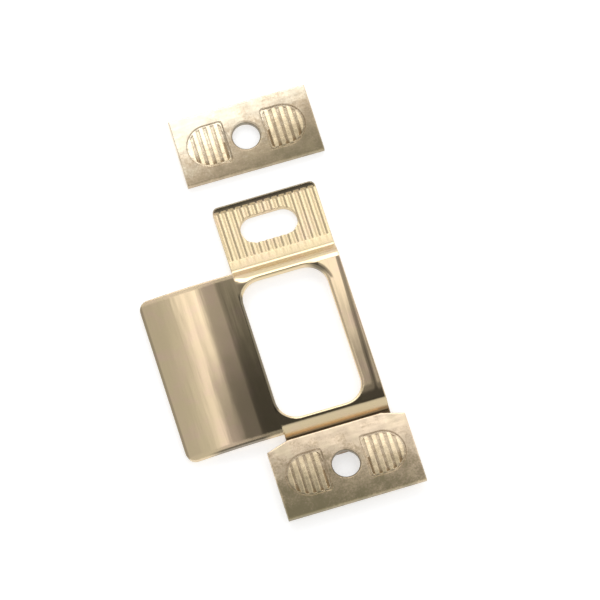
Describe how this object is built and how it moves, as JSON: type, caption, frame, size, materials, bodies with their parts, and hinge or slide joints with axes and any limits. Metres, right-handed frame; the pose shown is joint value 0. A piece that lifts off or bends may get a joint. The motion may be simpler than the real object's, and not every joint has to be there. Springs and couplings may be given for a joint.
{
  "type": "adjustable door strike plate",
  "caption": "Adjustable door strike plate: a formed brass-finished lip and latch window with grooved, slotted ears, and ribbed clamp plates, one seated and one lying apart.",
  "frame": {"origin": "bottom centre of the bounding box of the whole set, as it lies on its back", "axes": "+Z out of the face, +Y along the strike towards its bare ear, +X away from the lip"},
  "size_m": [0.0456, 0.0876, 0.0028],
  "materials": {
    "strike": "semi-polished",
    "clamp_plate": "satin, tarnished"
  },
  "bodies": {
    "root": {"strike": "strike", "clamp_plate_lower": "clamp_plate", "clamp_plate_upper": "clamp_plate"}
  },
  "joints": []
}
